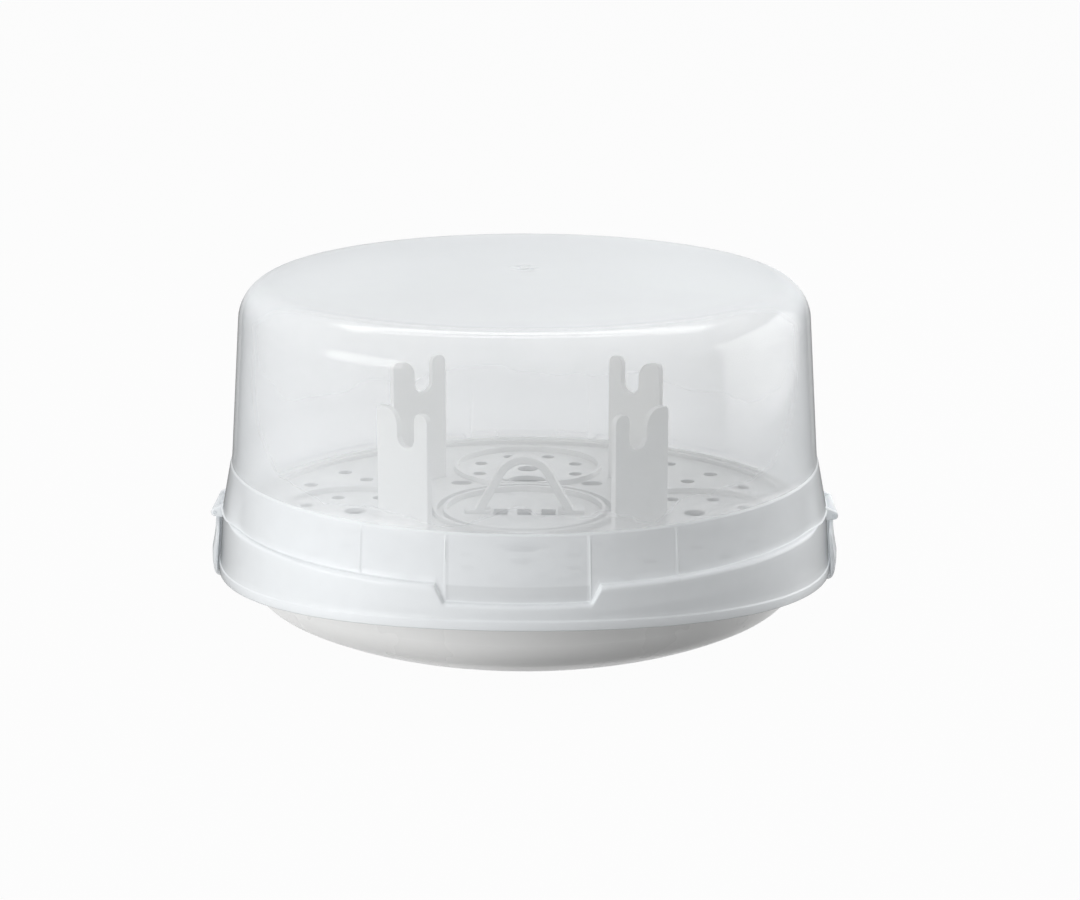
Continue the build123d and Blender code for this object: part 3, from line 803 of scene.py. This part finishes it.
def make_world():
    """White where it is seen directly or in gloss, and a dim pale studio for the rest of the light."""
    world = bpy.data.worlds.new("studio")
    bpy.context.scene.world = world
    world.use_nodes = True
    tree = world.node_tree
    tree.nodes.clear()
    output = tree.nodes.new("ShaderNodeOutputWorld")
    ambient = node(tree, "Background", Color=(0.95, 0.98, 1.0, 1), Strength=AMBIENT)
    white = node(tree, "Background", Color=(1, 1, 1, 1), Strength=1.0)
    mix = mix_shaders(tree, seen_directly(tree), ambient, white)
    tree.links.new(mix.outputs[0], output.inputs["Surface"])


def softbox(name, bearing, rise, away, size, power, lights=True, shines=True, aim=(0, 0, 0.08)):
    """A rectangular lamp that faces a point on the object. Its bearing is in degrees from the front, positive
    to the right, and its rise in degrees above that point. It may light surfaces, show in their gloss, or
    both."""
    lamp = bpy.data.lights.new(name, "AREA")
    lamp.shape = "RECTANGLE"
    lamp.size, lamp.size_y = size
    lamp.energy = power
    holder = bpy.data.objects.new(name, lamp)
    bpy.context.scene.collection.objects.link(holder)
    bearing, rise = math.radians(bearing), math.radians(rise)
    level = math.cos(rise)
    toward = mathutils.Vector((math.sin(bearing) * level, -math.cos(bearing) * level, math.sin(rise)))
    holder.location = mathutils.Vector(aim) + away * toward
    holder.rotation_euler = (-toward).to_track_quat("-Z", "Y").to_euler()
    holder.visible_camera = False
    holder.visible_diffuse = lights
    holder.visible_transmission = lights
    holder.visible_glossy = shines


def make_lamps():
    """Soft lamps that light the surfaces without showing in them, then strips that show in the gloss alone."""
    softbox("key lamp", -57, 22, 1.5, (1.4, 1.1), 9.6, shines=False)
    softbox("low left lamp", -52, -2, 0.7, (0.7, 0.1), 1.7, shines=False)
    softbox("table glow", 0, -90, 0.5, (0.3, 0.3), 0.04, shines=False, aim=(-0.16, -0.16, 0.502))
    softbox("front lamp", 25, 42, 1.3, (1.2, 0.8), 4.6, shines=False)
    softbox("right lamp", 118, 10, 1.2, (0.9, 0.5), 10, shines=False)
    softbox("top lamp", 180, 72, 1.2, (1.6, 1.0), 8.2, shines=False)
    softbox("left glow", -62, 10, 1.5, (0.9, 0.42), 2.4, lights=False)
    softbox("back glow", 180, 68, 1.2, (1.6, 0.22), 4.0, lights=False)
    softbox("right glow", 103, 12, 0.5, (0.5, 0.3), 0.6, lights=False)


def make_camera():
    """The photograph's view: from the front, a little above, with a long lens. Lengths are in metres, the tilt
    in radians, and the focal length and the picture's centre column in its pixels."""
    focal_pixels, frame_width, centre_column = 2679.7, 1080, 524.5
    away, height, down, round_right = 1.1846, 0.3823, 0.251, math.radians(1.2)
    camera = bpy.data.cameras.new("camera")
    camera.sensor_width = 36.0
    camera.lens = camera.sensor_width * focal_pixels / frame_width
    camera.shift_x = (frame_width / 2 - centre_column) / frame_width
    camera.clip_start = 0.05
    holder = bpy.data.objects.new("camera", camera)
    bpy.context.scene.collection.objects.link(holder)
    holder.location = (away * math.sin(round_right), -away * math.cos(round_right), height)
    holder.rotation_euler = (math.pi / 2 - down, 0, round_right)
    bpy.context.scene.camera = holder


def line_inside(piece, look):
    """Gives a second look to the faces of a shell that face inward, toward a point low on the Z axis."""
    count = len(piece.data.polygons)
    centre, normal = np.empty(count * 3), np.empty(count * 3)
    piece.data.polygons.foreach_get("center", centre)
    piece.data.polygons.foreach_get("normal", normal)
    outward = ((centre.reshape(-1, 3) - (0, 0, 0.02)) * normal.reshape(-1, 3)).sum(axis=1)
    piece.data.materials.append(look)
    piece.data.polygons.foreach_set("material_index", (outward < 0).astype(np.int32))
    piece.data.update()


def dress(piece, look, body, slot, *nodes):
    """Gives a piece its material and its body, and hides the CAD nodes that it stands for. Its slot is not
    used.
    """
    piece.data.materials.clear()
    piece.data.materials.append(look)
    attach(piece, body)
    if nodes:
        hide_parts(*nodes)
    return piece


bpy.context.scene.view_settings.view_transform = "Standard"
make_world()
make_floor()
make_camera()
make_lamps()

# Veil above and below the shoulder, veil edge on, and grey of the painted shade on the edges
lid_look = frosted_plastic("frosted lid plastic", 0.18, 0.84, 0.9, 0.10)
lid_inside_look = frosted_plastic("frosted lid plastic inside", 0.18, 0.0, 0.9, 0.10)
clip_look = frosted_plastic("frosted clip plastic", 0.35, 0.7, 0.9, 0.4)
# Darker and lighter grey, roughness, coat and strength of the skin's bump
bowl_look = white_plastic("glossy white bowl", 0.805, 0.815, 0.28, 0.1, 0.015)
tray_look = white_plastic("satin white tray", 0.705, 0.725, 0.42, 0.0, 0.02)

lid = dress(keep_edges_sharp(lid_surface(), SHELL_SHARP), lid_look, "lid", "lid_frosted", "lid")
line_inside(lid, lid_inside_look)
for side in (-1, 1):
    for end in (-1, 1):
        dress(keep_edges_sharp(ear_surface(side, end), SHELL_SHARP), lid_look, "lid", "lid_frosted")
dress(keep_edges_sharp(bowl_surface(), SHELL_SHARP), bowl_look, "bowl", "bowl_white", "base_bowl")
posts = ("front_left_post", "front_right_post", "rear_left_post", "rear_right_post")
for part in ("tray", *posts, "lifting_handle"):
    dress(rounded_copy(part, TRAY_BEVEL), tray_look, "tray", "tray_white", part)
for side, part in ((-1, "left_clip"), (1, "right_clip")):
    arm = keep_edges_sharp(clip_surface(part + "_arm", side), CLIP_SHARP)
    dress(arm, clip_look, part, "clip_frosted", part)
    barrel = keep_edges_sharp(barrel_surface(part + "_barrel", side), SHELL_SHARP)
    dress(barrel, clip_look, part, "clip_frosted")
